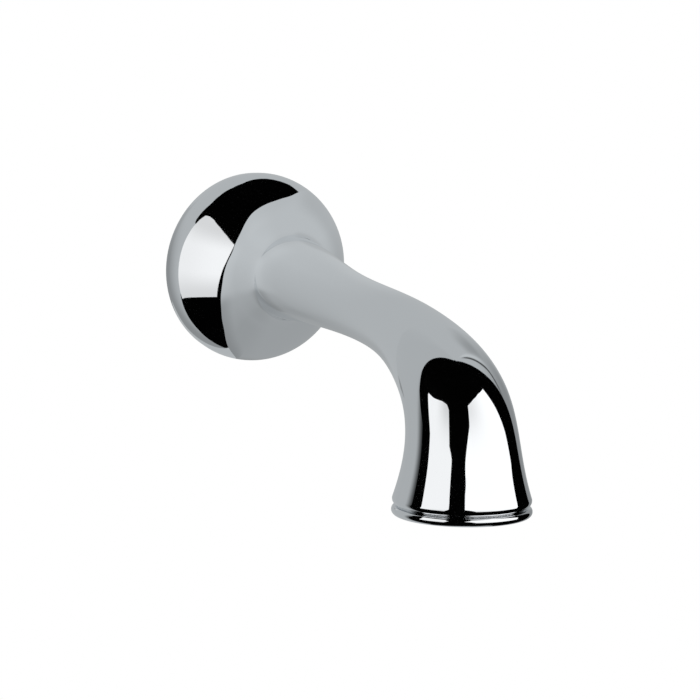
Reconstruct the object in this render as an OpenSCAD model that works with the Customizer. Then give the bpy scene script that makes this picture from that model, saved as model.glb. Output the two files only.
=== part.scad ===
// Wall-mounted bath spout with a domed flange, a drooping tapered tube and a bell-shaped outlet.
// The frame's origin is the centre of the flange's wall face. +Z is up and the spout reaches
// towards -Y, so a depth measured from the wall is a distance along -Y.

/* [Flange] */
// Widest diameter of the domed flange
flange_d = 70.8; // [66:0.2:76]
// Diameter of the flange where it meets the wall
rim_d = 70; // [66:0.5:70.5]
// Depth from the wall at which the flange is widest
widest_at = 4; // [3:0.5:6]
// Radius of the flange's rounded shoulder
shoulder_r = 19; // [17:0.5:20]
// Angle at which the shoulder runs into the domed front, in degrees from the inlet's axis
shoulder_end = 61; // [56:1:66]
// Radius of the flange's domed front
front_r = 45; // [38:1:55]
// Width of the rim's wall face
rim_w = 4.5; // [4:0.1:6]
// Wall left between the flange's hollow back and its domed front
flange_wall = 3; // [2.5:0.1:4]
// Depth of the hollow behind the flange
hollow_depth = 24; // [20:1:26]

/* [Neck] */
// Depth from the wall at which the flare ends and the tube begins
neck_at = 35.8; // [35:0.2:40]
// Diameter of the tube where the flare ends
neck_d = 31.2; // [29:0.2:33]
// Taper of the tube where it leaves the flare, in degrees on each side
neck_taper = 4.5; // [3:0.1:7]
// Distance over which the tube leaves the flare straight
neck_run = 12; // [8:0.5:14]

/* [Tube] */
// Distance from the wall to the middle of the outlet
reach = 171; // [160:1:190]
// Height from the inlet's axis down to the outlet's lowest face
drop = 65; // [62:0.5:75]
// Diameter that the tube narrows towards
waist_d = 22; // [21:0.2:26]
// Distance from the wall at which the narrow stretch starts
waist_at = 74; // [68:1:80]
// How far the tube's axis has fallen where the narrow stretch starts
waist_start_fall = 2.7; // [1.5:0.1:4]
// How far the tube's axis has fallen where the narrow stretch ends
waist_fall = 4; // [3:0.5:6]
// How far before the outlet's axis the narrow stretch ends
waist_run = 60.5; // [56:0.5:66]
// How far before the outlet's axis the tube turns down
bend_run = 33; // [30:0.5:36]
// How far the tube's axis has fallen where it turns down
bend_fall = 8.7; // [7:0.1:10]
// Diameter of the tube where it turns down
bend_d = 27; // [25:0.2:30]
// How far the tube's axis has fallen where it becomes upright
knee_fall = 25; // [23:0.5:27]
// Diameter that the bell keeps below the bend
knee_d = 39.6; // [38:0.2:42]

/* [Outlet] */
// Widest diameter of the bell's lip
lip_d = 49.2; // [48:0.2:52]
// Radius that rounds the lip under
lip_round = 2.2; // [1.8:0.1:2.6]
// Angle at which the lip's rounding ends, in degrees below its widest place
lip_turn = 53; // [45:1:60]
// Angle at which the bell flares into its lip, in degrees
bell_flare = 18; // [14:1:22]
// Height over which the bell flares out
bell_h = 13.4; // [11:0.2:16]
// Outer diameter of the bead ring
bead_d = 49.7; // [48.5:0.1:52]
// Height of the bead ring
bead_h = 3.3; // [2.8:0.1:4]
// Width of the groove between the lip and the bead
groove_w = 0.5; // [0.3:0.1:1]
// Depth of the groove behind the lip's lower edge
groove_depth = 0.8; // [0.5:0.1:1.2]
// Diameter of the screwed bore in the outlet
outlet_bore_d = 40; // [38:0.5:41]
// Depth of the screwed bore above the bell's lower face
outlet_bore_h = 9; // [8:0.5:10]

/* [Waterway] */
// Thickness of the cast wall around the waterway
wall = 2.8; // [2.2:0.1:3.2]
// Widest diameter of the cast waterway near the inlet
core_d = 20; // [18.8:0.2:20.6]
// Diameter of the bore drilled from the inlet thread into the cast waterway
drill_d = 17; // [14:0.5:18.4]
// Width of the seat that the outlet gasket presses on
seat_w = 4; // [3:0.5:5]

/* [Inlet] */
// Major diameter of the half-inch pipe thread
thread_d = 20.955; // [20.9:0.005:21]
// Radial gap between screwed pieces, drawn as plain cylinders
thread_gap = 0.05; // [0.02:0.01:0.1]
// Length of the threaded bore inside the boss
inlet_bore_l = 15; // [14:0.5:16]
// Diameter of the boss that holds the inlet thread
boss_d = 27; // [26:0.5:29]
// How far the boss's face stands back from the wall
boss_back = 5.5; // [5:0.5:7]
// Length of the connector's thread that stands out behind the wall face
stub_l = 15; // [12:1:20]
// Length of the connector's thread inside the boss
screwed_l = 12.5; // [10:0.5:13.5]
// Diameter of the connector's collar
collar_d = 26; // [24:0.5:26.8]
// Thickness of the connector's collar
collar_t = 3; // [2:0.5:3.5]
// Bore through the connector
connector_bore_d = 11; // [9:0.5:11.5]
// Width across the flats of the connector's key socket
key_af = 12; // [11.8:0.1:14]
// Depth of the connector's key socket
key_depth = 10; // [6:1:12]
// Chamfer on each end of the connector's thread
thread_chamfer = 1; // [0.6:0.1:1.4]

/* [Seals] */
// Thickness of the fibre washer under the connector's collar
washer_t = 1.5; // [1:0.1:2]
// Width of the rubber seal in the flange's rim
rim_seal_w = 2; // [1.6:0.1:2.4]
// Depth of the rubber seal in the flange's rim
rim_seal_t = 1.5; // [1:0.1:2]
// Thickness of the outlet gasket
gasket_t = 2; // [1.5:0.1:2.5]
// Clearance around a seal or an insert
fit_gap = 0.1; // [0.05:0.05:0.2]

/* [Stream former] */
// Wall of the outlet ring around the stream former
ring_wall = 3.4; // [3:0.1:4]
// Thickness of the outlet ring's bottom ledge
ledge_t = 1.4; // [1:0.1:1.8]
// Width of the ledge under the stream former
ledge_w = 1.3; // [1:0.1:1.6]
// Height of the honeycomb
comb_h = 6; // [5:0.5:6.5]
// Width across the flats of one honeycomb cell
cell_af = 3; // [2.6:0.1:3.6]
// Thickness of the webs between the cells
web = 0.6; // [0.5:0.1:0.9]
// Thickness of the gauze
gauze_t = 0.4; // [0.3:0.1:0.6]
// Spacing of the gauze's wires
gauze_pitch = 2.6; // [2.4:0.1:3.4]
// Width of one wire of the gauze
gauze_wire = 0.6; // [0.4:0.1:0.8]
// Diameter of the distributor's holes
jet_d = 1.8; // [1.4:0.1:2.2]
// Radial spacing of the distributor's rings of holes
jet_pitch = 4; // [3.6:0.1:4.2]
// Number of the distributor's rings of holes
jet_rings = 3; // [2:1:3]

/* [Hidden] */
$fn = 96;

// Facets around and along the tube, and around and along its waterway
skin_sides = 56;
skin_rings = 44;
core_sides = 32;
core_rings = 26;
// The tube's facets lie this far inside the turned ends that they meet
lap = 0.03;
// How far a turned end reaches over the tube, and a cut runs past its face
over = 0.5;
past = 1;
// How far the drilled bore reaches past the flare's end
drill_lap = 4;
// Straight steps along each curve of the turned outlines
edge_steps = 6;
dome_steps = 12;
front_steps = 16;
flare_steps = 16;
hollow_steps = 8;
lip_steps = 12;
bead_steps = 16;
finish_chrome = [0.78, 0.79, 0.81];

// Flange: the shoulder about `dome`, the flatter front about `front` and the hollow flare about
// `flare` run into each other on common tangents. Points on these outlines are [depth, radius].
neck_r = neck_d / 2;
flange_r = flange_d / 2;
rim_r = rim_d / 2;
dome = [widest_at, flange_r - shoulder_r];
front = dome + (shoulder_r - front_r) * [cos(shoulder_end), sin(shoulder_end)];
to_neck = [neck_at, neck_r] - front;
flare_r = (front_r * front_r - to_neck * to_neck)
    / (2 * (to_neck * [sin(neck_taper), cos(neck_taper)] - front_r));
flare = [neck_at, neck_r] + flare_r * [sin(neck_taper), cos(neck_taper)];
meet_angle = atan2(flare.y - front.y, flare.x - front.x);
boss_r = boss_d / 2;

// Outlet heights, all measured down from the inlet's axis
body_bottom = drop - bead_h - groove_w;
lip_at = body_bottom - lip_round * sin(lip_turn);
lip_start = lip_at - lip_round * sin(bell_flare);
lip_start_r = lip_d / 2 - lip_round * (1 - cos(bell_flare));
lip_bottom_r = lip_d / 2 - lip_round * (1 - cos(lip_turn));
groove_r = lip_bottom_r - groove_depth;
outlet_bore_r = outlet_bore_d / 2;
seat_at = body_bottom - outlet_bore_h;
cavity_r = outlet_bore_r - seat_w;

// Each row is [distance from the wall, fall of the axis, radius of the tube]
spine = [
    [neck_at, 0, neck_r],
    [neck_at + neck_run, 0, neck_r - neck_run * tan(neck_taper)],
    [waist_at, waist_start_fall, waist_d / 2],
    [reach - waist_run, waist_fall, waist_d / 2],
    [reach - bend_run, bend_fall, bend_d / 2],
    [reach, knee_fall, knee_d / 2],
    [reach, lip_start - bell_h, lip_start_r - bell_h * tan(bell_flare)],
    [reach, lip_start, lip_start_r]
];

// Outlet insert heights
insert_top = seat_at + gasket_t;
former_r = outlet_bore_r - ring_wall;
ledge_top = drop - ledge_t;
comb_top = ledge_top - comb_h;
gauze_top = comb_top - gauze_t;
opening_r = former_r - ledge_w;

// Value of a clamped cubic B-spline: the weights of the rows at u, times the rows
function knot(j, n) = min(max(j - 3, 0), n - 3);
function ramp(u, a, b) = b > a ? (u - a) / (b - a) : 0;
function weight(i, p, u, n) = p == 0
    ? (u >= knot(i, n) && u < knot(i + 1, n) ? 1 : 0)
    : ramp(u, knot(i, n), knot(i + p, n)) * weight(i, p - 1, u, n)
        + (1 - ramp(u, knot(i + 1, n), knot(i + p + 1, n))) * weight(i + 1, p - 1, u, n);
function along(rows, u) = let (n = len(rows), t = min(max(u, 0), n - 3 - 1e-7))
    [for (i = [0:n - 1]) weight(i, 3, t, n)] * rows;
function heading(rows, u) = let (a = along(rows, u - 1e-3), b = along(rows, u + 1e-3))
    atan2(b.y - a.y, b.x - a.x);

// A circle of radius r round the axis at [distance, fall], square to a heading in degrees
function ring(at, turn, r, sides) = [for (i = [0:sides - 1]) let (a = 360 * i / sides)
    [r * cos(a), -at.x - r * sin(a) * sin(turn), -at.y + r * sin(a) * cos(turn)]];

// Arc points round a centre, from one angle to another
function arc(centre, r, from, to, steps) = [for (i = [0:steps])
    let (a = from + (to - from) * i / steps) centre + r * [cos(a), sin(a)]];

// Closed skin over a list of rings that have the same number of sides
module loft(rings) {
    sides = len(rings[0]);
    last = len(rings) - 1;
    points = [for (r = rings) each r];
    walls = [for (k = [0:last - 1], i = [0:sides - 1])
        let (a = k * sides + i, b = k * sides + (i + 1) % sides, c = a + sides, d = b + sides)
        each [[a, d, b], [a, c, d]]];
    caps = [[for (i = [0:sides - 1]) i], [for (i = [sides - 1:-1:0]) last * sides + i]];
    polyhedron(points = points, faces = concat(walls, caps), convexity = 6);
}

// Turns [depth, radius] outlines about the inlet's axis, with depth along -Y
module turned_at_wall(outline) {
    rotate([90, 0, 0])
        rotate_extrude()
            polygon([for (p = outline) [p.y, p.x]]);
}

// Turns [fall, radius] outlines about the outlet's upright axis
module turned_at_outlet(outline) {
    translate([0, -reach, 0])
        rotate_extrude()
            polygon([for (p = outline) [p.y, -p.x]]);
}

// Cylinder on the inlet's axis between two depths
module inlet_bore(r, from, to) {
    rotate([90, 0, 0])
        translate([0, 0, from])
            cylinder(r = r, h = to - from);
}

// Cylinder on the outlet's axis between two falls
module outlet_bore(r, from, to) {
    translate([0, -reach, -to])
        cylinder(r = r, h = to - from);
}

// Domed front of the flange, from the wall to just past the neck. The rim starts square to the
// wall and swells in an S-curve to the flange's widest place.
module flange_form() {
    end = neck_at + over;
    turned_at_wall(concat(
        [[0, 0]],
        [for (i = [0:edge_steps - 1]) let (t = i / edge_steps)
            [widest_at * t, rim_r + (flange_r - rim_r) * t * t * (3 - 2 * t)]],
        arc(dome, shoulder_r, 90, shoulder_end, dome_steps),
        arc(front, front_r, shoulder_end, meet_angle, front_steps),
        arc(flare, flare_r, meet_angle + 180, 270 - neck_taper, flare_steps),
        [[end, neck_r - over * tan(neck_taper)], [end, 0]]
    ));
}

// Hollow behind the flange: the front's curves moved in by the wall, inside the rim's face and
// down to a flat floor, with the boss left standing
module flange_hollow() {
    difference() {
        intersection() {
            turned_at_wall(concat(
                [[-2 * past, 0], [-2 * past, flange_r - flange_wall]],
                arc(dome, shoulder_r - flange_wall, 90, shoulder_end, hollow_steps),
                arc(front, front_r - flange_wall, shoulder_end, meet_angle, hollow_steps),
                arc(flare, flare_r + flange_wall, meet_angle + 180, 270 - neck_taper, hollow_steps),
                [[neck_at, 0]]
            ));
            inlet_bore(rim_r - rim_w, -past, hollow_depth);
        }
        inlet_bore(boss_r, -2 * past, hollow_depth + past);
    }
}

// Tube that droops, narrows and turns down into the bell
module tube_form() {
    spans = len(spine) - 3;
    loft(concat(
        [for (k = [0:skin_rings]) let (u = spans * k / skin_rings, s = along(spine, u))
            ring(s, heading(spine, u), s.z - lap, skin_sides)],
        [ring([reach, lip_start + over], 90, lip_start_r - 2 * over, skin_sides)]
    ));
}

// Lip of the bell, rounded under to its flat lower face
module lip_form() {
    centre = [lip_at, lip_d / 2 - lip_round];
    turned_at_outlet(concat(
        [[lip_start - over, 0], [lip_start - over, lip_start_r - over * tan(bell_flare)]],
        [for (p = arc([0, 0], lip_round, -bell_flare, lip_turn, lip_steps)) centre + [p.y, p.x]],
        [[body_bottom, 0]]
    ));
}

// Cast waterway: it keeps the wall, and stays under the inlet's and the cavity's widths
module waterway_form() {
    spans = len(spine) - 3;
    loft([for (k = [0:core_rings])
        let (u = spans * k / core_rings, s = along(spine, u))
        let (limit = u < spans / 2 ? core_d / 2 : cavity_r)
        ring(s, heading(spine, u), min(s.z - wall, limit), core_sides)]);
}

module spout_body() {
    color(finish_chrome)
        difference() {
            union() {
                flange_form();
                tube_form();
                lip_form();
            }
            flange_hollow();
            inlet_bore(boss_r + past, -past, boss_back);
            inlet_bore(thread_d / 2 + thread_gap, boss_back - past, boss_back + inlet_bore_l);
            inlet_bore(drill_d / 2, boss_back, neck_at + drill_lap);
            waterway_form();
            outlet_bore(outlet_bore_r, seat_at, body_bottom + past);
            rim_seal_space(past);
        }
}

// Ring-shaped space in the middle of the rim's wall face
module rim_seal_space(proud = 0) {
    middle_r = rim_r - rim_w / 2;
    difference() {
        inlet_bore(middle_r + rim_seal_w / 2, -proud, rim_seal_t);
        inlet_bore(middle_r - rim_seal_w / 2, -proud - past, rim_seal_t + past);
    }
}

module rim_seal() {
    color([0.12, 0.12, 0.12])
        rim_seal_space();
}

// Threaded connector: a stub for the wall, a collar, and a thread for the boss
module wall_connector() {
    collar_back = boss_back - washer_t;
    collar_front = collar_back - collar_t;
    thread_r = thread_d / 2;
    inner_end = boss_back + screwed_l;
    color([0.80, 0.66, 0.35])
        difference() {
            turned_at_wall([
                [-stub_l, 0],
                [-stub_l, thread_r - thread_chamfer],
                [-stub_l + thread_chamfer, thread_r],
                [collar_front, thread_r],
                [collar_front, collar_d / 2],
                [collar_back, collar_d / 2],
                [collar_back, thread_r],
                [inner_end - thread_chamfer, thread_r],
                [inner_end, thread_r - thread_chamfer],
                [inner_end, 0]
            ]);
            inlet_bore(connector_bore_d / 2, -stub_l - past, inner_end + past);
            rotate([90, 0, 0])
                translate([0, 0, -stub_l - past])
                    cylinder(d = key_af / cos(30), h = key_depth + past, $fn = 6);
        }
}

module fibre_washer() {
    color([0.55, 0.12, 0.10])
        difference() {
            inlet_bore(collar_d / 2 - fit_gap, boss_back - washer_t, boss_back);
            inlet_bore(thread_d / 2 + fit_gap, boss_back - washer_t - past, boss_back + past);
        }
}

// Bead ring: a half-round bead outside, and a screwed spigot that holds the stream former
module outlet_ring() {
    bead_top = drop - bead_h;
    bead_centre = [drop - bead_h / 2, bead_d / 2 - bead_h / 2];
    spigot_r = outlet_bore_r - thread_gap;
    color(finish_chrome)
        turned_at_outlet(concat(
            [[insert_top, former_r], [insert_top, spigot_r - thread_chamfer]],
            [[insert_top + thread_chamfer, spigot_r], [body_bottom, spigot_r]],
            [[body_bottom, groove_r], [bead_top, groove_r]],
            [for (p = arc([0, 0], bead_h / 2, -90, 90, bead_steps)) bead_centre + [p.y, p.x]],
            [[drop, opening_r], [ledge_top, opening_r], [ledge_top, former_r]]
        ));
}

module outlet_gasket() {
    color([0.12, 0.12, 0.12])
        difference() {
            outlet_bore(outlet_bore_r - fit_gap, seat_at, insert_top);
            outlet_bore(opening_r, seat_at - past, insert_top + past);
        }
}

// Perforated disc that spreads the water over the gauze
module distributor() {
    color([0.93, 0.93, 0.90])
        difference() {
            outlet_bore(former_r - fit_gap, insert_top, gauze_top);
            for (k = [1:jet_rings], i = [0:6 * k - 1])
                translate([k * jet_pitch * cos(60 * i / k), k * jet_pitch * sin(60 * i / k), 0])
                    outlet_bore(jet_d / 2, insert_top - past, gauze_top + past);
        }
}

// Gauze drawn as a disc with square gaps
module gauze() {
    gap = gauze_pitch - gauze_wire;
    corner_r = norm([gap, gap]) / 2;
    open_r = opening_r - gauze_pitch / 2;
    count = floor(open_r / gauze_pitch);
    color([0.62, 0.63, 0.65])
        translate([0, -reach, -comb_top])
            linear_extrude(gauze_t)
                difference() {
                    circle(r = former_r - fit_gap);
                    for (i = [-count:count], j = [-count:count])
                        if (norm([i, j] * gauze_pitch) + corner_r < open_r)
                            translate([i, j] * gauze_pitch)
                                square(gap, center = true);
                }
}

// Honeycomb that straightens the stream, with cells on a triangular grid
module honeycomb() {
    pitch = cell_af + web;
    count = ceil(opening_r / pitch);
    color([0.93, 0.93, 0.90])
        translate([0, -reach, -ledge_top])
            linear_extrude(comb_h)
                difference() {
                    circle(r = former_r - fit_gap);
                    for (i = [-count:count], j = [-count:count])
                        let (at = [(i + j / 2) * pitch, j * pitch * sin(60)])
                            if (norm(at) + cell_af / 2 / cos(30) < opening_r - web)
                                translate(at)
                                    rotate(30)
                                        circle(d = cell_af / cos(30), $fn = 6);
                }
}

spout_body();
wall_connector();
fibre_washer();
rim_seal();
outlet_ring();
outlet_gasket();
distributor();
gauze();
honeycomb();
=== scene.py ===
"""Looks of a wall-mounted bath spout: plated body, bead ring, threaded connector, seals and stream former.

The frame is the CAD's: the origin is the centre of the flange's wall face, +Z is up and the spout
reaches towards -Y. Sizes are in millimetres and angles in degrees, as in the part's source, and MM
turns a piece's points into metres. A row of a path is [distance from the wall, fall below the inlet's
axis, tilt in radians, radius].
"""
import math

import bpy
import numpy as np
from mathutils import Matrix, Vector


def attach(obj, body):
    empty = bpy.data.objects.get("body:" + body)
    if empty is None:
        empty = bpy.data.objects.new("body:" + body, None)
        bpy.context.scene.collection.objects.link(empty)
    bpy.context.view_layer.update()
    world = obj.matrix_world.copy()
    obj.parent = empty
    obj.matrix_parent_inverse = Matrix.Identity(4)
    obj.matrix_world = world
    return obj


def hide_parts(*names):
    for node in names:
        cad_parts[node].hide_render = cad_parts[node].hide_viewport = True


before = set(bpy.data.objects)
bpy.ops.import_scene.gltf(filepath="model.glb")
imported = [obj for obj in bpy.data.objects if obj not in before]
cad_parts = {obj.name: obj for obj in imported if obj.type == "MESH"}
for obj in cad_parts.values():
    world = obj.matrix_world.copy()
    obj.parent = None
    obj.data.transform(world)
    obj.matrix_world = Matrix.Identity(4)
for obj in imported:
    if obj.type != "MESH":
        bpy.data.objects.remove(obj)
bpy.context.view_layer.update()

# Metres in a millimetre, and the tilt of an upright axis
MM = 0.001
UPRIGHT = math.radians(90)

# Points round each surface
BODY_SIDES = 176
RING_SIDES = 192
CONNECTOR_SIDES = 144
CELL_SIDES = 36
WIRE_SIDES = 6

# Flange and neck
FLANGE_R = 35.4
RIM_R = 35
WIDEST_AT = 4
SHOULDER_R = 19
SHOULDER_END = 61
FRONT_R = 45
RIM_W = 4.5
FLANGE_WALL = 3
HOLLOW_DEPTH = 24
NECK_AT = 35.8
NECK_R = 15.6
NECK_TAPER = 4.5
NECK_RUN = 12

# Tube: [distance from the wall, fall, radius] of the rows that its smooth curve follows
REACH = 171
BODY_BOTTOM = 61.2
LIP_R = 24.6
LIP_ROUND = 2.2
LIP_TURN = 53
BELL_FLARE = 18
BELL_H = 13.4
LIP_AT = BODY_BOTTOM - LIP_ROUND * math.sin(math.radians(LIP_TURN))
LIP_START = LIP_AT - LIP_ROUND * math.sin(math.radians(BELL_FLARE))
LIP_START_R = LIP_R - LIP_ROUND * (1 - math.cos(math.radians(BELL_FLARE)))
TUBE_ROWS = np.array([
    [NECK_AT, 0, NECK_R],
    [NECK_AT + NECK_RUN, 0, NECK_R - NECK_RUN * math.tan(math.radians(NECK_TAPER))],
    [74, 2.7, 11],
    [REACH - 60.5, 4, 11],
    [REACH - 33, 8.7, 13.5],
    [REACH, 25, 19.8],
    [REACH, LIP_START - BELL_H, LIP_START_R - BELL_H * math.tan(math.radians(BELL_FLARE))],
    [REACH, LIP_START, LIP_START_R],
])

# Waterway, inlet and outlet bores
WALL = 2.8
CORE_R = 10
CAVITY_R = 16
DRILL_R = 8.5
OUTLET_BORE_R = 20
SEAT_AT = 52.2
BOSS_R = 13.5
BOSS_BACK = 5.5
INLET_BORE_R = 10.5275
INLET_END = 20.5

# Seal groove in the rim
SEAL_IN = 31.75
SEAL_OUT = 33.75
SEAL_DEPTH = 1.5

# Bead ring
BEAD_H = 3.3
BEAD_R = 24.85
GROOVE_R = 22.92
DROP = 65
INSERT_TOP = 54.2
FORMER_R = 16.6
SPIGOT_R = 19.95
LEDGE_TOP = 63.6
OPENING_R = 15.3

# Stream former inside the ring
DISC_R = FORMER_R - 0.1
COMB_H = 6
COMB_TOP = LEDGE_TOP - COMB_H
CELL_AF = 3
CELL_CORNER = 0.97
WEB = 0.6
GAUZE_T = 0.4
GAUZE_PITCH = 1.3
WIRE_R = 0.1

# Connector with its half-inch pipe thread
THREAD_R = 10.4775
THREAD_PITCH = 1.814
STUB_L = 15
COLLAR_R = 13
COLLAR_FRONT = 1
COLLAR_BACK = 4
CONNECTOR_END = 18
CONNECTOR_BORE_R = 5.5
RELIEF_R = 9.2
STUB_END = COLLAR_FRONT - 0.9
SCREW_START = COLLAR_BACK + 1.2
KEY_AF = 12
KEY_DEPTH = 10
KEY_END = KEY_DEPTH - STUB_L

# Fibre washer
WASHER_R = 12.9
WASHER_BORE_R = 10.58
WASHER_T = 1.5

# Camera: its place in metres, its direction and roll in degrees and its lens in millimetres
CAMERA_AT = (-0.914383, -1.851432, 0.299898)
CAMERA_AZIMUTH = 27.34513
CAMERA_ELEVATION = 9.12238
CAMERA_ROLL = 1.08576
CAMERA_LENS = 285.17

# Floor, in metres
FLOOR_HALF = 4
FLOOR_AT = -2.6

# Near end of the sleeve of grey card round the neck: [angle, radius]
SLEEVE_EDGE = np.array([
    [60, 33.9], [76, 29.2], [90, 27.4], [115, 25.8], [135, 23.4], [155, 22.4], [187, 23.9], [208, 26],
    [226, 28.8], [241, 32.5], [260, 36], [30, 36],
])
SLEEVE_GAP = 0.3
SLEEVE_END = 128

# Middles that the studio's other cards stand round, and the distance of the bell's own cards
FLANGE_EYE = np.array([0, -15, 0])
BELL_EYE = np.array([0, -REACH, -35])
BELL_CARDS_R = 105


def arc(centre, radius, start, end, steps):
    """Points at even angles on a circle, from a start to an end angle in degrees."""
    angle = np.radians(np.linspace(start, end, steps + 1))
    return np.array(centre) + radius * np.c_[np.cos(angle), np.sin(angle)]


def on_circle(centre, radius, angle):
    """The point on a circle at one angle in degrees."""
    return arc(centre, radius, angle, angle, 0)[0]


def unit(v):
    """The vector, divided by its own length."""
    return v / np.linalg.norm(v)


# Flange's arcs: the shoulder about DOME, the flatter front about FRONT and the hollow flare about
# FLARE run into each other on common tangents. FLARE_R is the one radius that lets the flare touch
# both the front and the neck's start. Points on these outlines are [depth, radius].
DOME = np.array([WIDEST_AT, FLANGE_R - SHOULDER_R])
FRONT = on_circle(DOME, SHOULDER_R - FRONT_R, SHOULDER_END)
NECK = np.array([NECK_AT, NECK_R])
LEAN = on_circle([0, 0], 1, 90 - NECK_TAPER)
FLARE_R = (FRONT_R ** 2 - (NECK - FRONT) @ (NECK - FRONT)) / (2 * ((NECK - FRONT) @ LEAN - FRONT_R))
FLARE = NECK + FLARE_R * LEAN
MEET = math.degrees(math.atan2(FLARE[1] - FRONT[1], FLARE[0] - FRONT[0]))


def flange_front():
    """Outline of the flange's shoulder and domed front, from its widest place to the flare."""
    return np.vstack([
        arc(DOME, SHOULDER_R, 90, SHOULDER_END, 32),
        arc(FRONT, FRONT_R, SHOULDER_END, MEET, 36)[1:],
    ])


def eased(points, radii, steps=4, hold=0.06):
    """Polyline with rounded corners. Each corner gives way to an arc of its radius that touches both
    of its edges, between two points that stand `hold` away on the edges and keep them flat. A
    corner of radius 0 stays."""
    points = np.array(points, float)
    out = [points[:1]]
    for before, corner, after, radius in zip(points, points[1:], points[2:], radii):
        if radius == 0:
            out.append(corner[None])
            continue
        back, on = unit(before - corner), unit(after - corner)
        half = math.acos(np.clip(back @ on, -1, 1)) / 2
        touch = radius / math.tan(half)
        centre = corner + unit(back + on) * radius / math.sin(half)
        turn = math.pi - 2 * half
        share = np.linspace(0, 1, steps + 1)[:, None]
        start, end = corner + back * touch - centre, corner + on * touch - centre
        bend = centre + (np.sin((1 - share) * turn) * start + np.sin(share * turn) * end) / math.sin(turn)
        out += [(corner + back * (touch + hold))[None], bend, (corner + on * (touch + hold))[None]]
    return np.vstack(out + [points[-1:]])


def along(rows, u):
    """Clamped cubic B-spline that the rows pull: at each u, weights times the rows. The weights start
    as steps of 0 and 1, and three rounds of blending each with the next make them smooth."""
    count = len(rows)
    knots = np.clip(np.arange(count + 4) - 3, 0, count - 3).astype(float)
    u = np.clip(u, 0, count - 3 - 1e-9)

    def passed(a, b):
        """Share of the way from knot a to knot b."""
        return (u - a) / (b - a) if b > a else np.zeros_like(u)

    weights = [((u >= a) & (u < b)).astype(float) for a, b in zip(knots, knots[1:])]
    for p in (1, 2, 3):
        weights = [passed(knots[i], knots[i + p]) * weights[i]
                   + (1 - passed(knots[i + 1], knots[i + p + 1])) * weights[i + 1]
                   for i in range(len(weights) - 1)]
    return np.stack(weights, -1) @ rows


def at_wall(outline):
    """Rows of a path for an outline of [depth, radius] turned on the inlet's axis."""
    outline = np.asarray(outline, float)
    zero = np.zeros(len(outline))
    return np.c_[outline[:, 0], zero, zero, outline[:, 1]]


def at_outlet(outline):
    """Rows of a path for an outline of [fall, radius] turned on the outlet's upright axis."""
    outline = np.asarray(outline, float)
    one = np.ones(len(outline))
    return np.c_[REACH * one, outline[:, 0], UPRIGHT * one, outline[:, 1]]


def tube(u, radius_of):
    """Rows of a path on the tube's curve: its place, the slope of its axis as the tilt, and a radius
    that is a function of the curve's own radius."""
    place = along(TUBE_ROWS, u)
    step = along(TUBE_ROWS, u + 1e-3) - along(TUBE_ROWS, u - 1e-3)
    return np.c_[place[:, :2], np.arctan2(step[:, 1], step[:, 0]), radius_of(place[:, 2])]


def carried(rows, sides, radii=None):
    """Points in metres and faces of a circle carried along a closed path. Row k gives its centre, its
    tilt and its radius, and the point at angle a is centre + radius * (cos a to the right, sin a up
    in the tilted plane). The last row joins the first. `radii` may give a radius for each row and
    side instead."""
    angle = np.linspace(0, 2 * math.pi, sides, endpoint=False)
    distance, fall, tilt, radius = (column[:, None] for column in rows.T)
    radius = radius * np.ones(sides) if radii is None else radii
    points = np.stack([
        radius * np.cos(angle),
        -distance - radius * np.sin(angle) * np.sin(tilt),
        -fall + radius * np.sin(angle) * np.cos(tilt),
    ], -1).reshape(-1, 3) * MM
    k, i = np.meshgrid(np.arange(len(rows)), np.arange(sides), indexing="ij")
    row, after = k * sides, (k + 1) % len(rows) * sides
    side = (i + 1) % sides
    faces = np.stack([row + i, row + side, after + side, after + i], -1).reshape(-1, 4)
    return points, faces


def surface(name, rows, sides, radii=None):
    """Mesh object of a circle carried along a closed path."""
    return solid(name, *carried(rows, sides, radii))


def solid(name, points, faces, sharp=35):
    """Mesh object from arrays of points in metres and of four-cornered faces, shaded smooth except
    over edges sharper than `sharp` degrees."""
    mesh = bpy.data.meshes.new(name)
    mesh.vertices.add(len(points))
    mesh.vertices.foreach_set("co", np.asarray(points, np.float32).ravel())
    mesh.loops.add(faces.size)
    mesh.loops.foreach_set("vertex_index", faces.astype(np.int32).ravel())
    mesh.polygons.add(len(faces))
    mesh.polygons.foreach_set("loop_start", np.arange(0, faces.size, faces.shape[1], dtype=np.int32))
    mesh.update(calc_edges=True)
    mesh.validate()
    mesh.polygons.foreach_set("use_smooth", np.ones(len(faces), bool))
    mesh.set_sharp_from_angle(angle=math.radians(sharp))
    piece = bpy.data.objects.new(name, mesh)
    bpy.context.scene.collection.objects.link(piece)
    return piece


def fit(piece, node, slot, *materials):
    """The piece wears the materials, rides on the body and stands for a CAD node, which it hides. `slot`
    is not used."""
    for material in materials:
        piece.data.materials.append(material)
    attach(piece, "root")
    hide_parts(node)
    return piece


# Materials

def linear(code):
    """Linear colour of an sRGB hex code."""
    part = [int(code[i:i + 2], 16) / 255 for i in (0, 2, 4)]
    return [c / 12.92 if c <= 0.04045 else ((c + 0.055) / 1.055) ** 2.4 for c in part] + [1]


def new_material(name, colour, roughness, metallic=0.0):
    """Material with one Principled shader. Returns it, its node tree and the shader."""
    material = bpy.data.materials.new(name)
    material.use_nodes = True
    shader = material.node_tree.nodes["Principled BSDF"]
    shader.inputs["Base Color"].default_value = linear(colour)
    shader.inputs["Roughness"].default_value = roughness
    shader.inputs["Metallic"].default_value = metallic
    return material, material.node_tree, shader


def add(tree, kind, links=(), **values):
    """Adds a node, sets its sockets or its own settings by name, and makes its links. A link is a
    pair: the socket it comes from and the name of this node's input."""
    node = tree.nodes.new(kind)
    for key, value in values.items():
        name = key.replace("_", " ")
        if name in node.inputs:
            node.inputs[name].default_value = value
        else:
            setattr(node, key, value)
    for source, target in links:
        tree.links.new(source, node.inputs[target])
    return node


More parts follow.
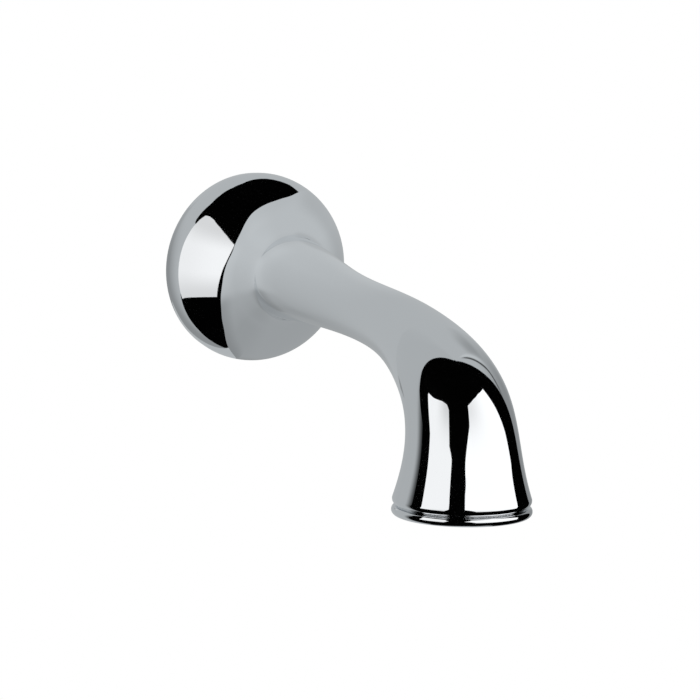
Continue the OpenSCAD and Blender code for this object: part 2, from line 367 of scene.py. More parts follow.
def object_noise(tree, per_metre, detail=3.0):
    """Noise on Object coordinates, with a number of lumps a metre."""
    place = add(tree, "ShaderNodeTexCoord")
    return add(tree, "ShaderNodeTexNoise", [(place.outputs["Object"], "Vector")],
               Scale=per_metre, Detail=detail, Roughness=0.5)


def roughness_between(tree, shader, noise, low, high):
    """The noise moves the shader's roughness between two values."""
    spread = add(tree, "ShaderNodeMapRange", [(noise.outputs["Fac"], "Value")],
                 From_Min=0.3, From_Max=0.7, To_Min=low, To_Max=high)
    tree.links.new(spread.outputs["Result"], shader.inputs["Roughness"])


def bumps(tree, shader, noise, strength, distance):
    """The noise raises the surface by up to `distance` metres."""
    bump = add(tree, "ShaderNodeBump", [(noise.outputs["Fac"], "Height")],
               Strength=strength, Distance=distance)
    tree.links.new(bump.outputs["Normal"], shader.inputs["Normal"])


def polished_chrome():
    """Bright chrome plate over polished brass: a mirror with a trace of haze that comes and goes over
    about 17 mm, as a buffing wheel leaves it."""
    material, tree, shader = new_material("polished_chrome", "F0F2F4", 0.03, 1)
    roughness_between(tree, shader, object_noise(tree, 60), 0.02, 0.045)
    return material


def cast_brass():
    """Raw brass inside the casting: sand-cast skin, dull yellow-brown. Its grains are 1.1 mm, coarser
    than real sand's, so that they show."""
    material, tree, shader = new_material("cast_brass", "D3B06C", 0.5, 1)
    noise = object_noise(tree, 900, 5)
    roughness_between(tree, shader, noise, 0.38, 0.6)
    bumps(tree, shader, noise, 0.5, 0.0002)
    return material


def turned_brass():
    """Machined brass: bright, with tool rings 0.35 mm apart, a coarse feed, so that they show."""
    material, tree, shader = new_material("turned_brass", "CFAE62", 0.24, 1)
    place = add(tree, "ShaderNodeTexCoord")
    rings = add(tree, "ShaderNodeTexWave", [(place.outputs["Object"], "Vector")],
                wave_type="BANDS", bands_direction="Y", Scale=900, Distortion=0.4, Detail=1)
    roughness_between(tree, shader, rings, 0.18, 0.3)
    return material


def red_fibre():
    """Pressed vulcanised fibre: matte dark red with a felt grain of 0.4 mm."""
    material, tree, shader = new_material("red_fibre", "8C3A30", 0.8)
    bumps(tree, shader, object_noise(tree, 2500, 4), 0.6, 0.00008)
    return material


def black_rubber():
    """Moulded black rubber: matte with a faint bloom in patches of 1.4 mm."""
    material, tree, shader = new_material("black_rubber", "1B1B1C", 0.62)
    noise = object_noise(tree, 700, 4)
    roughness_between(tree, shader, noise, 0.5, 0.72)
    bumps(tree, shader, noise, 0.25, 0.00005)
    return material


def white_acetal():
    """Moulded white acetal: satin plastic, slightly warm, with shallow ripples 2.5 mm long."""
    material, tree, shader = new_material("white_acetal", "EDECE6", 0.35)
    noise = object_noise(tree, 400, 3)
    roughness_between(tree, shader, noise, 0.3, 0.42)
    bumps(tree, shader, noise, 0.12, 0.00004)
    return material


def steel_wire():
    """Drawn stainless wire: bright, with duller places every half millimetre."""
    material, tree, shader = new_material("steel_wire", "C4C6C9", 0.28, 1)
    roughness_between(tree, shader, object_noise(tree, 1800, 3), 0.22, 0.36)
    return material


# Pieces

def body_path():
    """Closed path of the spout's body: out of the inlet, over the hollow back, the rim and the domed
    front, along the tube to the lip, then up the outlet bore and back through the waterway.
    Returns the rows and, for each, whether it is raw casting."""
    inner_front_r = FRONT_R - FLANGE_WALL
    inner_dome_r = SHOULDER_R - FLANGE_WALL
    floor_angle = math.degrees(math.acos((HOLLOW_DEPTH - FRONT[0]) / inner_front_r))
    floor_edge = on_circle(FRONT, inner_front_r, floor_angle)
    bore_angle = math.degrees(math.asin((RIM_R - RIM_W - DOME[1]) / inner_dome_r))
    bore_edge = on_circle(DOME, inner_dome_r, bore_angle)
    back = eased([
        [INLET_END, DRILL_R], [INLET_END, INLET_BORE_R], [BOSS_BACK, INLET_BORE_R], [BOSS_BACK, BOSS_R],
        [HOLLOW_DEPTH, BOSS_R], floor_edge,
    ], [0.2, 0.6, 0.5, 1.2])[:-1]
    dish = np.vstack([
        arc(FRONT, inner_front_r, floor_angle + 1.5, SHOULDER_END, 16),
        arc(DOME, inner_dome_r, SHOULDER_END, bore_angle, 2)[1:-1],
    ])
    rim_corners = [
        bore_edge, [0, RIM_R - RIM_W], [0, SEAL_IN], [SEAL_DEPTH, SEAL_IN], [SEAL_DEPTH, SEAL_OUT],
        [0, SEAL_OUT], [0, RIM_R], [WIDEST_AT / 8, RIM_R],
    ]
    rim = eased(rim_corners, [0.4, 0.15, 0, 0, 0.15, 0.25])[:-1]

    # The rim's side swells in an S-curve to the flange's widest place.
    t = np.linspace(0.12, 1, 15)[:-1]
    swell = np.c_[WIDEST_AT * t, RIM_R + (FLANGE_R - RIM_R) * t * t * (3 - 2 * t)]
    skin = np.vstack([
        swell,
        flange_front(),
        arc(FLARE, FLARE_R, MEET + 180, 270 - NECK_TAPER, 40)[1:-1],
    ])

    spans = len(TUBE_ROWS) - 3
    outside = tube(np.linspace(0, spans, 241), lambda r: r)
    lip = [LIP_AT, LIP_R - LIP_ROUND] + arc([0, 0], LIP_ROUND, -BELL_FLARE, LIP_TURN, 14)[1:-1, ::-1]
    lip_end = [BODY_BOTTOM, LIP_R - LIP_ROUND * (1 - math.cos(math.radians(LIP_TURN)))]
    mouth = eased([
        lip[-1], lip_end, [BODY_BOTTOM, OUTLET_BORE_R], [SEAT_AT, OUTLET_BORE_R], [SEAT_AT, CAVITY_R],
        [SEAT_AT - 1, CAVITY_R],
    ], [0.12, 0.3, 0.3, 0.4])[1:-1]

    # The waterway follows the same curve back, from 1.2 mm above the gasket's seat.
    u = np.linspace(spans, 0, 400)
    seat_u = np.interp(SEAT_AT - 1.2, along(TUBE_ROWS, u)[::-1, 1], u[::-1])
    u = np.linspace(seat_u, 0, 72)
    waterway = tube(u, lambda r: np.minimum(r - WALL, np.where(u < spans / 2, CORE_R, CAVITY_R)))
    bore = [[NECK_AT, DRILL_R], [INLET_END + 1, DRILL_R]]

    raw_back, plated, raw_front = (
        np.vstack([at_wall(back), at_wall(dish)]),
        np.vstack([at_wall(rim), at_wall(skin), outside, at_outlet(lip), at_outlet(mouth)]),
        np.vstack([waterway, at_wall(bore)]),
    )
    rows = np.vstack([raw_back, plated, raw_front])

    # The plating starts on the rim's inner corner, three rows on, and ends at the gasket's seat, eight
    # rows before the waterway.
    raw = np.zeros(len(rows), bool)
    raw[:len(raw_back) + 3] = True
    raw[-len(raw_front) - 8:] = True
    return rows, raw


def make_body(plate, raw_metal):
    """Body of the spout: one closed skin, plated outside and raw inside."""
    rows, raw = body_path()
    piece = surface("spout_body_skin", rows, BODY_SIDES)
    fit(piece, "spout_body", "chrome_plate", plate, raw_metal)
    piece.data.polygons.foreach_set("material_index", np.repeat(raw, BODY_SIDES).astype(np.int32))
    return piece


def make_outlet_ring(plate):
    """Bead ring: half-round bead, groove, spigot and ledge, turned on the outlet's axis."""
    bead_top = DROP - BEAD_H
    half = BEAD_H / 2
    bead = [DROP - half, BEAD_R - half] + arc([0, 0], half, -90, 90, 40)[:, ::-1]
    spigot = eased([
        [LEDGE_TOP, FORMER_R], [INSERT_TOP, FORMER_R], [INSERT_TOP, SPIGOT_R - 1],
        [INSERT_TOP + 1, SPIGOT_R], [BODY_BOTTOM, SPIGOT_R], [BODY_BOTTOM, GROOVE_R],
        [bead_top, GROOVE_R], bead[0],
    ], [0.3, 0.15, 0.15, 0, 0.1, 0.12])[1:]
    ledge = eased([
        bead[-1], [DROP, OPENING_R], [LEDGE_TOP, OPENING_R], [LEDGE_TOP, FORMER_R],
    ], [0.35, 0.2])[1:]
    outline = np.vstack([spigot, bead[1:], ledge])
    piece = surface("outlet_ring_turned", at_outlet(outline), RING_SIDES)
    return fit(piece, "outlet_ring", "chrome_ring", plate)


def thread_height(offset):
    """Height of a 55-degree pipe thread above its mean line, for an axial offset from a crest: straight
    flanks, with arcs that round the crest and the root. Returns it and the thread's depth."""
    flank = math.radians(27.5)
    round_r = 0.137329 * THREAD_PITCH
    depth = 0.640327 * THREAD_PITCH
    across = np.abs((offset / THREAD_PITCH + 0.5) % 1 - 0.5) * THREAD_PITCH
    sharp = 0.480246 * THREAD_PITCH - across / math.tan(flank)
    from_root = THREAD_PITCH / 2 - across
    crest = depth / 2 - round_r + np.sqrt(np.clip(round_r ** 2 - across ** 2, 0, None))
    root = -depth / 2 + round_r - np.sqrt(np.clip(round_r ** 2 - from_root ** 2, 0, None))
    edge = round_r * math.cos(flank)
    return np.where(across < edge, crest, np.where(from_root < edge, root, sharp)), depth


def threaded(distance, angle):
    """Radius at each distance and angle: the thread's helix, cut down to 1 mm chamfers at both ends and
    to the sloping relief beside the collar."""
    height, depth = thread_height(distance[:, None] - THREAD_PITCH * angle / (2 * math.pi))
    from_end = np.minimum(distance + STUB_L, CONNECTOR_END - distance)[:, None]
    in_wall = distance < COLLAR_FRONT
    from_collar = np.where(in_wall, STUB_END - distance, distance - SCREW_START)[:, None]
    radius = np.minimum(THREAD_R - depth / 2 + height, THREAD_R - 1 + from_end)
    return np.minimum(radius, RELIEF_R + 1.6 * from_collar)


def make_connector(metal):
    """Threaded connector, out along its outside and back through its bore: the thread in the wall, the
    collar, the thread in the spout, the bore and the six-sided key socket."""
    angle = np.linspace(0, 2 * math.pi, CONNECTOR_SIDES, endpoint=False)
    stub = np.linspace(-STUB_L, STUB_END, 156)
    screwed = np.linspace(SCREW_START, CONNECTOR_END, 130)
    collar = eased([
        [COLLAR_FRONT - 0.7, RELIEF_R], [COLLAR_FRONT, RELIEF_R], [COLLAR_FRONT, COLLAR_R],
        [COLLAR_BACK, COLLAR_R], [COLLAR_BACK, RELIEF_R], [COLLAR_BACK + 1, RELIEF_R],
    ], [0.15, 0.35, 0.35, 0.15])
    bore = np.array([
        [CONNECTOR_END, 9.3], [CONNECTOR_END, CONNECTOR_BORE_R + 0.4],
        [CONNECTOR_END - 0.4, CONNECTOR_BORE_R], [KEY_END + 0.3, CONNECTOR_BORE_R],
    ])
    key_rows = np.array([KEY_END, KEY_END, KEY_END - 0.05, -STUB_L + 0.4, -STUB_L])
    key = KEY_AF / 2 / np.cos((angle % math.radians(60)) - math.radians(30))
    foot = np.full(CONNECTOR_SIDES, CONNECTOR_BORE_R + 0.2)
    key_radii = np.stack([foot, key - 0.05, key, key, key + 0.35])

    def even(column):
        """The same radius at every angle."""
        return column[:, None] * np.ones(CONNECTOR_SIDES)

    distance = np.concatenate([stub, collar[:, 0], screwed, bore[:, 0], key_rows])
    radii = np.vstack([
        threaded(stub, angle), even(collar[:, 1]), threaded(screwed, angle), even(bore[:, 1]), key_radii,
    ])
    rows = at_wall(np.c_[distance, radii[:, 0]])
    piece = surface("wall_connector_threaded", rows, CONNECTOR_SIDES, radii)
    return fit(piece, "wall_connector", "raw_brass", metal)


def make_washer(name, node, slot, rows_of, outline, easing, sides, material):
    """Flat ring with eased edges: a closed four-cornered outline turned on its axis."""
    start = (np.array(outline[0]) + outline[-1]) / 2
    rows = rows_of(eased([start, *outline, start], easing)[:-1])
    return fit(surface(name, rows, sides), node, slot, material)


def plate_with_cells(name, centres, outer, rows, top, bottom):
    """Round plate with an eased opening at each centre. `outer` is one tile's outline, and tiles share
    their edges. A row is [fall, share, outline]: it blends from the tile's outline at share 0 to the
    row's own at share 1, about each centre. Tile edges that no neighbour shares run out to the rim."""
    sides = len(outer)
    loops = np.stack([(1 - share) * outer + share * inner for _, share, inner in rows])
    points = centres[:, None, None] + loops
    fall = np.array([row[0] for row in rows])[None, :, None] * np.ones(points.shape[:3])
    index = np.arange(points[..., 0].size).reshape(len(centres), len(rows), sides)
    on = np.roll(index, -1, axis=2)
    faces = np.stack([index[:, :-1], on[:, :-1], on[:, 1:], index[:, 1:]], -1).reshape(-1, 4)
    flat = np.c_[points.reshape(-1, 2), fall.ravel()]

    # Points of neighbouring tiles at one place become one point.
    _, first, same = np.unique(np.round(flat, 4), axis=0, return_index=True, return_inverse=True)
    same = same.ravel()
    flat, faces = flat[first], same[faces]

    # The border, above and below, is made of the edges that only one tile has.
    upper = same[np.stack([index[:, 0], on[:, 0]], -1).reshape(-1, 2)]
    lower = same[np.stack([index[:, -1], on[:, -1]], -1).reshape(-1, 2)]
    _, which, used = np.unique(np.sort(upper, axis=1), axis=0, return_inverse=True, return_counts=True)
    alone = used[which.ravel()] == 1
    upper, lower = upper[alone], lower[alone]

    # Four rings round the plate's edge, each with one point outwards of each point of the border.
    rim = []
    for border, height, radius in ((upper, top, DISC_R - 0.15), (upper, top + 0.15, DISC_R),
                                   (lower, bottom - 0.15, DISC_R), (lower, bottom, DISC_R - 0.15)):
        spoke = flat[border[:, 0], :2]
        spoke = spoke / np.linalg.norm(spoke, axis=1)[:, None] * radius
        rim.append(np.c_[spoke, np.full(len(border), height)])

    # Bands of faces join the upper border, the rings and the lower border.
    order = np.argsort(upper[:, 0])
    after = order[np.searchsorted(upper[order, 0], upper[:, 1])]
    ring = len(flat) + np.arange(4)[:, None] * len(upper) + np.arange(len(upper))
    chains = [upper.T, *zip(ring, ring[:, after]), lower.T]
    bands = [np.stack([b, a, c, d], -1) for (a, b), (c, d) in zip(chains, chains[1:])]
    flat = np.vstack([flat, *rim])
    points = np.c_[flat[:, 0], flat[:, 1] - REACH, -flat[:, 2]] * MM
    return solid(name, points, np.vstack([faces, *bands]))


def hexagon(across, corner=1.0):
    """Outline of a hexagon whose flats face the six neighbours. Its corners are cut off at a share of
    their distance from the middle."""
    angle = np.linspace(0, 2 * math.pi, CELL_SIDES, endpoint=False)
    from_flat = (angle + math.radians(30)) % math.radians(60) - math.radians(30)
    radius = across / 2 / np.cos(from_flat)
    radius = np.minimum(radius, across / 2 / math.cos(math.radians(30)) * corner)
    return radius[:, None] * np.c_[np.cos(angle), np.sin(angle)]


def make_honeycomb(plastic):
    """Moulded honeycomb: six-sided cells on a triangular grid, with the webs' edges eased."""
    pitch = CELL_AF + WEB
    i, j = np.meshgrid(np.arange(-5, 6), np.arange(-5, 6))
    centres = np.c_[(i + j / 2).ravel() * pitch, j.ravel() * pitch * math.sin(math.radians(60))]
    cell_r = CELL_AF / 2 / math.cos(math.radians(30))
    centres = centres[np.linalg.norm(centres, axis=1) + cell_r < OPENING_R - WEB]
    ease = [[0, 0.36], [0.05, 0.15], [0.14, 0.04], [0.24, 0]]
    tops = [[COMB_TOP + down, 1, hexagon(CELL_AF + wide, CELL_CORNER)] for down, wide in ease]
    ends = [[LEDGE_TOP - down, 1, hexagon(CELL_AF + wide, CELL_CORNER)] for down, wide in ease[::-1]]
    tile = hexagon(pitch)
    rows = [[COMB_TOP, 0, tile], *tops, *ends, [LEDGE_TOP, 0, tile]]
    piece = plate_with_cells("honeycomb_moulded", centres, tile, rows, COMB_TOP, LEDGE_TOP)
    return fit(piece, "honeycomb", "white_acetal", plastic)


def make_gauze(steel):
    """Woven gauze: wires that run both ways as sine waves, a circle carried along each, and cross over
    and under by turns. Each is cut to the disc and ends in a flat cap inside the rolled rim."""
    reach = DISC_R - 0.5
    middle = COMB_TOP - GAUZE_T / 2
    offset = np.arange(-12, 13) * GAUZE_PITCH
    offset = offset[np.abs(offset) < reach - 0.3]
    run = np.sqrt(reach ** 2 - offset ** 2)[:, None] * np.linspace(-1, 1, 97)
    by_turns = np.where(np.arange(len(offset)) % 2 == 0, 1.0, -1.0)[:, None]
    wave = by_turns * (GAUZE_T / 2 - WIRE_R) * np.cos(math.pi * run / GAUZE_PITCH)
    angle = np.linspace(0, 2 * math.pi, WIRE_SIDES, endpoint=False) + 0.3
    every = np.ones((*run.shape, WIRE_SIDES))
    across = (offset[:, None, None] + WIRE_R * np.cos(angle)) * every
    length = run[:, :, None] * every
    over = wave[:, :, None] + WIRE_R * np.sin(angle)
    under = -wave[:, :, None] + WIRE_R * np.sin(angle)

    index = np.arange(every.size).reshape(every.shape)
    on = np.roll(index, -1, axis=2)
    faces = np.concatenate([
        np.stack([index[:, :-1], on[:, :-1], on[:, 1:], index[:, 1:]], -1).reshape(-1, 4),
        index[:, 0][:, [[0, 5, 4, 3], [0, 3, 2, 1]]].reshape(-1, 4),
        index[:, -1][:, [[0, 1, 2, 3], [0, 3, 4, 5]]].reshape(-1, 4),
    ])
    crossways = np.stack([length, across - REACH, over - middle], -1).reshape(-1, 3) * MM
    lengthways = np.stack([across, length - REACH, under - middle], -1).reshape(-1, 3) * MM
    rim = eased([
        [middle, reach - 0.6], [COMB_TOP - GAUZE_T, reach - 0.6], [COMB_TOP - GAUZE_T, DISC_R],
        [COMB_TOP, DISC_R], [COMB_TOP, reach - 0.6], [middle, reach - 0.6],
    ], [0.1] * 4)[:-1]
    rim_points, rim_faces = carried(at_outlet(rim), 96)
    points = np.vstack([crossways, lengthways, rim_points])
    faces = np.vstack([faces, every.size + faces[:, ::-1], 2 * every.size + rim_faces])
    piece = solid("gauze_woven", points, faces, 60)
    return fit(piece, "gauze", "steel_wire", steel)


def make_seals(fibre, rubber):
    """Fibre washer, rim seal and outlet gasket, each with its edges eased."""
    front, back = BOSS_BACK - WASHER_T, BOSS_BACK
    gasket_r = OUTLET_BORE_R - 0.1
    make_washer("fibre_washer_pressed", "fibre_washer", "fibre", at_wall,
                [[front, WASHER_BORE_R], [front, WASHER_R], [back, WASHER_R], [back, WASHER_BORE_R]],
                [0.12] * 4, CONNECTOR_SIDES, fibre)
    make_washer("rim_seal_moulded", "rim_seal", "black_rubber", at_wall,
                [[0, SEAL_IN], [0, SEAL_OUT], [SEAL_DEPTH, SEAL_OUT], [SEAL_DEPTH, SEAL_IN]],
                [0.3, 0.3, 0.1, 0.1], RING_SIDES, rubber)
    make_washer("outlet_gasket_moulded", "outlet_gasket", "black_rubber", at_outlet,
                [[SEAT_AT, OPENING_R], [SEAT_AT, gasket_r],
                 [INSERT_TOP, gasket_r], [INSERT_TOP, OPENING_R]],
                [0.2] * 4, CONNECTOR_SIDES, rubber)


# Studio

def ramp(value, start, end):
    """0 before the start and 1 past the end, with a smooth rise between them."""
    t = np.clip((value - start) / (end - start), 0, 1)
    return t * t * (3 - 2 * t)


def card(name, points, material, level):
    """Curved card from a grid of points in metres, with a brightness for each. Only reflections see it."""
    rows, columns = points.shape[:2]
    k, i = np.meshgrid(np.arange(rows - 1), np.arange(columns - 1), indexing="ij")
    corner = k * columns + i
    faces = np.stack([corner, corner + 1, corner + columns + 1, corner + columns], -1).reshape(-1, 4)
    sheet = solid(name, points.reshape(-1, 3), faces)
    sheet.data.attributes.new("level", "FLOAT", "POINT").data.foreach_set("value", level.ravel())
    sheet.data.materials.append(material)
    sheet.visible_camera = False
    sheet.visible_diffuse = False
    sheet.visible_shadow = False


def outward(azimuth, elevation):
    """Unit vector of a direction that is given by its azimuth and elevation in degrees."""
    turn, rise = np.radians(azimuth), np.radians(elevation)
    return np.stack([np.sin(turn) * np.cos(rise), -np.cos(turn) * np.cos(rise), np.sin(rise)], -1)


def panel(name, centre, distance, low, high, material, level=None):
    """Part of a sphere round a point in millimetres, between a lower and an upper edge. Each edge is a
    list of [azimuth, elevation] in degrees: azimuth 0 is straight out from the wall, -90 is to the
    left and 90 to the right, and elevation is above the horizon. `level` gives the brightness from
    both."""
    low, high = np.array(low, float), np.array(high, float)
    azimuth = np.linspace(low[0, 0], low[-1, 0], 121) * np.ones((49, 1))
    share = np.linspace(0, 1, 49)[:, None]
    elevation = (1 - share) * np.interp(azimuth, *low.T) + share * np.interp(azimuth, *high.T)
    brightness = np.ones_like(elevation) if level is None else level(azimuth, elevation)
    points = (outward(azimuth, elevation) * distance + centre) * MM
    card(name, points, material, brightness)


def grey_level(depth, height):
    """Brightness of the grey cards near the spout: brighter towards the top close to the flange, and
    even farther out. Depth and height are in millimetres."""
    return 0.93 + np.clip(height, -27, 18) / 130 * ramp(depth, 90, 30)


def sleeve_level(angle, depth, across, height, from_end):
    """Brightness of the sleeve. Close to the flange it is lighter on the left, above a level line, and
    darker on the right. At the near end it is set apart for the left, the top and the bottom, to even
    out the neck's base, which mirrors it by two bounces."""
    flange_left = ramp(depth, 40, 28) * ramp(across, 0, -14)
    flange_right = ramp(depth, 27, 16) * ramp(across, 6, 22) * ramp(height, -12, 4)
    left = ramp(angle, 138, 158) * ramp(angle, 200, 186)
    above = ramp(angle, 62, 80) * ramp(angle, 150, 132)
    below = ramp(angle, 196, 206) * ramp(angle, 285, 265)
    level = grey_level(depth, height) + flange_left * (0.13 * ramp(height, -13, -6) - 0.05)
    level = level * (1 + (0.08 * left - 0.04 * above - 0.2 * below) * ramp(from_end, 7, 0))
    return level * (1 - 0.14 * flange_right)


def make_sleeve(material):
    """Sleeve round the neck and the tube, along the inlet's axis, so that they mirror it alone. Its
    near end stands just over the flange's front, at a radius that changes with the angle."""
    angle = np.linspace(0, 360, 361)
    radius = np.interp(angle, *SLEEVE_EDGE.T, period=360)
    window = np.hanning(17) / np.hanning(17).sum()
    radius = np.convolve(np.r_[radius[-9:-1], radius, radius[1:9]], window, "valid")
    outline = flange_front()[::-1]
    near = np.interp(radius, outline[:, 1], outline[:, 0]) + SLEEVE_GAP
    depth = near + np.linspace(0, 1, 61)[:, None] ** 1.7 * (SLEEVE_END - near)
    across = radius * np.cos(np.radians(angle)) * np.ones((61, 1))
    height = radius * np.sin(np.radians(angle)) * np.ones((61, 1))
    level = sleeve_level(angle, depth, across, height, depth - near)
    card("sleeve", np.stack([across, -depth, height], -1) * MM, material, level)


def wall_level(azimuth, elevation):
    """Brightness of the grey round the flange: lower at the far left, level with it and below."""
    return 0.95 - 0.4 * ramp(azimuth, -115, -165) * ramp(elevation, 30, -5)


def softbox_level(azimuth, elevation):
    """Brightness of the left softbox: highest in the middle, towards the right."""
    middle = ramp(elevation, 44, 20) * ramp(elevation, -29, -2)
    return 0.66 + 0.17 * middle + 0.06 * middle * ramp(azimuth, -100, -62)


def beside_bell_level(azimuth, elevation):
    """Brightness of the grey beside the bell, which starts as the sleeve's does. It falls off on the left,
    at the lower right and at the dark card's left edge. The bend mirrors a soft patch of painted shade
    in it, and a dark line with a light band beside it."""
    place = BELL_EYE + BELL_CARDS_R * outward(azimuth, elevation)
    level = grey_level(-place[..., 1], place[..., 2])
    level = level - 0.05 * ramp(azimuth, 190, 215)
    level = level - 0.4 * ramp(azimuth, 150, 110) * ramp(elevation, 60, 15)
    level = level * (1 - 0.9 * ramp(azimuth, 233, 250) * ramp(elevation, 45, 25))
    # Painted shade: a soft darker patch in the card's glow.
    painted_shade = ramp(azimuth, 106, 120) * ramp(azimuth, 152, 124)
    painted_shade = painted_shade * ramp(elevation, 34, 48) * ramp(elevation, 68, 54)
    past = azimuth - 101.5 + 8 * ramp(elevation, 44, 25)
    line = ramp(np.abs(past), 3.4, 1) * ramp(elevation, 18, 34) * ramp(elevation, 80, 70)
    band = ramp(past, 2.5, 5) * ramp(past, 13, 7) * ramp(elevation, 34, 50) * ramp(elevation, 84, 72)
    return level * (1 - 0.27 * painted_shade + 0.2 * band) * (1 - 0.85 * line)


def bell_left_level(azimuth, elevation):
    """Brightness of the bell's left white card: lower at the top and the foot of its right side."""
    ends = ramp(elevation, 5, 35) + ramp(elevation, 2, -18)
    return 0.88 - 0.25 * ramp(azimuth, -85, -58) * ends


def bell_right_level(azimuth, elevation):
    """Brightness of the bell's right white card: lower at the top and the foot of its left side."""
    ends = ramp(elevation, 5, 40) + ramp(elevation, 5, -15)
    return 1 - 0.25 * ramp(azimuth, 35, -15) * ends


def glow(name, strength, tint=(1, 1, 1)):
    """Emitting card material: a strength, times the card's own level of brightness."""
    material = bpy.data.materials.new(name)
    material.use_nodes = True
    tree = material.node_tree
    tree.nodes.clear()
    level = add(tree, "ShaderNodeAttribute", attribute_name="level")
    light = add(tree, "ShaderNodeMath", [(level.outputs["Fac"], 0)], operation="MULTIPLY")
    light.inputs[1].default_value = strength
    emission = add(tree, "ShaderNodeEmission", [(light.outputs["Value"], "Strength")], Color=(*tint, 1))
    add(tree, "ShaderNodeOutputMaterial", [(emission.outputs[0], "Surface")])
    return material


def make_world():
    """Pale world: plain white behind the spout and in what it mirrors, a little lower where it lights
    the spout."""
    world = bpy.data.worlds.new("studio_world")
    bpy.context.scene.world = world
    world.use_nodes = True
    tree = world.node_tree
    ray = add(tree, "ShaderNodeLightPath").outputs
    seen = add(tree, "ShaderNodeMath", [(ray["Is Camera Ray"], 0), (ray["Is Glossy Ray"], 1)],
               operation="MAXIMUM").outputs["Value"]
    seen = add(tree, "ShaderNodeMath", [(seen, 0), (ray["Is Transmission Ray"], 1)],
               operation="MAXIMUM").outputs["Value"]
    strength = add(tree, "ShaderNodeMapRange", [(seen, "Value")], To_Min=0.72, To_Max=1)
    background = tree.nodes["Background"]
    background.inputs["Color"].default_value = (1, 1, 1, 1)
    tree.links.new(strength.outputs["Result"], background.inputs["Strength"])


def make_key_light():
    """Soft lamp from the upper left, which only shapes the matte pieces: the chrome doesn't mirror it."""
    lamp = bpy.data.lights.new("soft_key", "AREA")
    lamp.shape = "DISK"
    lamp.size = 1
    lamp.energy = 14
    key = bpy.data.objects.new("soft_key", lamp)
    key.location = (-1, -1.3, 1.25)
    key.rotation_euler = Vector((1, 1.2, -1.25)).to_track_quat("-Z", "Y").to_euler()
    key.visible_glossy = False
    bpy.context.scene.collection.objects.link(key)


def make_floor():
    """Plain pale floor, far below the spout."""
    corners = np.array([[-1, -1], [1, -1], [1, 1], [-1, 1]]) * FLOOR_HALF
    floor = solid("studio_floor", np.c_[corners, np.full(4, FLOOR_AT)], np.array([[0, 1, 2, 3]]))
    floor.data.materials.append(new_material("studio_floor", "FAFAFA", 0.9)[0])


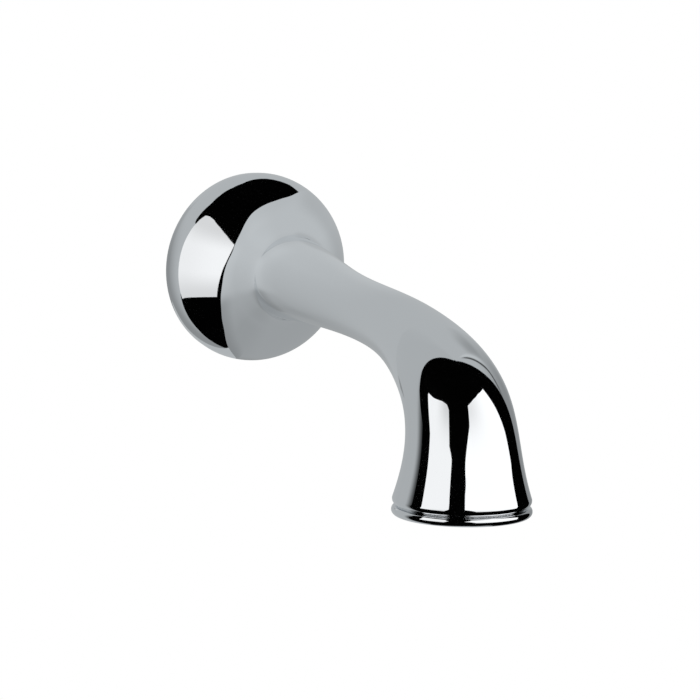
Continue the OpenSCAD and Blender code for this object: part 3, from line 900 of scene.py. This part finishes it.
def make_studio():
    """Cards that the chrome mirrors. The flange sees a dark studio with a white softbox on its left and
    a grey wall behind; a sleeve keeps the neck and the tube grey; the bell has cards of its own."""
    grey = glow("grey_card", 0.53, (0.94, 0.98, 1.0))
    white = glow("white_card", 1.15)
    black = glow("black_card", 0.0004)

    # Round the flange
    panel("wall_side", FLANGE_EYE, 1500, [[-180, -89], [180, -89]], [[-180, 89], [180, 89]],
          grey, wall_level)
    panel("ceiling", FLANGE_EYE, 1400,
          [[-180, 65], [-150, 63], [-130, 58], [-124, 47], [-119, 38], [118, 33], [142, 44], [161, 61],
           [180, 65]],
          [[-180, 90], [180, 90]], black)
    panel("underside", FLANGE_EYE, 1400, [[-180, -90], [30, -90]],
          [[-180, -67], [-161, -62], [-143, -53], [-134, -41], [-122, -25], [30, -25]], black)
    panel("dark_left", FLANGE_EYE, 1350, [[-112, -80], [60, -80]], [[-112, 80], [60, 80]], black)
    panel("left_softbox", FLANGE_EYE, 1200, [[-121, -29], [-66, -31], [-57, 2], [-47, 31]],
          [[-121, -28], [-117.5, -5], [-116, 18], [-113.5, 34], [-109, 44], [-103, 50], [-95, 52],
           [-86, 51.5], [-78, 49], [-69, 46], [-58, 40], [-47, 31.5]], white, softbox_level)
    panel("behind_the_hollow", np.zeros(3), 70, [[158, -22], [202, -22]], [[158, 22], [202, 22]], white)
    make_sleeve(grey)

    # Round the bell, with a way left open towards the flange
    panel("bell_dark", BELL_EYE, BELL_CARDS_R,
          [[-123, 38], [-121, 22], [-116, 13], [-108.5, 5], [-108, -70], [102, -70]],
          [[-123, 89.9], [78, 89.9], [80, 69], [85, 46], [91, 24], [98, 4], [102, -10]], black)
    for name, start, end, low, high in (("right", 78, 159, -70, 89), ("left", 196, 252, -70, 89),
                                        ("above", 159, 196, 40, 89), ("below", 159, 196, -70, -2)):
        panel("bell_grey_" + name, BELL_EYE, BELL_CARDS_R + 1, [[start, low], [end, low]],
              [[start, high], [end, high]], grey, beside_bell_level)
    panel("bell_left", BELL_EYE, BELL_CARDS_R - 4,
          [[-102, 30], [-92, 8], [-93, -16], [-54, -20], [-48, 5]],
          [[-102, 32], [-90, 33], [-71, 37], [-60, 37], [-55, 33], [-53, 10], [-48, 6]],
          white, bell_left_level)
    panel("bell_right", BELL_EYE, BELL_CARDS_R - 4,
          [[-24, 4], [-18, 1], [-12, -9], [-8, -20], [61, -20], [66, -4], [68, -2]],
          [[-24, 6], [-13, 25], [-11, 42], [6, 47], [25, 50], [47, 50], [56, 31], [65, 10], [68, -1]],
          white, bell_right_level)


def make_camera():
    """Camera fitted to the photograph's outlines. It looks along the opposite of `back`, and its right
    and up sides are turned about that by the roll."""
    turn, rise, roll = (math.radians(a) for a in (CAMERA_AZIMUTH, CAMERA_ELEVATION, CAMERA_ROLL))
    back = np.array([
        -math.sin(turn) * math.cos(rise), -math.cos(turn) * math.cos(rise), math.sin(rise),
    ])
    right = np.array([math.cos(turn), -math.sin(turn), 0])
    up = np.cross(back, right)
    axes = np.stack([
        right * math.cos(roll) + up * math.sin(roll), up * math.cos(roll) - right * math.sin(roll), back,
    ], -1)
    data = bpy.data.cameras.new("photo_camera")
    data.lens = CAMERA_LENS
    data.sensor_width = 36
    data.clip_end = 20
    camera = bpy.data.objects.new("photo_camera", data)
    bpy.context.scene.collection.objects.link(camera)
    camera.matrix_world = Matrix.Translation(CAMERA_AT) @ Matrix(axes).to_4x4()
    bpy.context.scene.camera = camera


make_camera()
make_world()
make_key_light()
make_floor()
make_studio()

chrome = polished_chrome()
acetal = white_acetal()
make_body(chrome, cast_brass())
make_outlet_ring(chrome)
make_connector(turned_brass())
make_seals(red_fibre(), black_rubber())
make_honeycomb(acetal)
make_gauze(steel_wire())
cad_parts["distributor"].data.materials.clear()
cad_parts["distributor"].data.materials.append(acetal)

bpy.context.scene.view_settings.view_transform = "Standard"
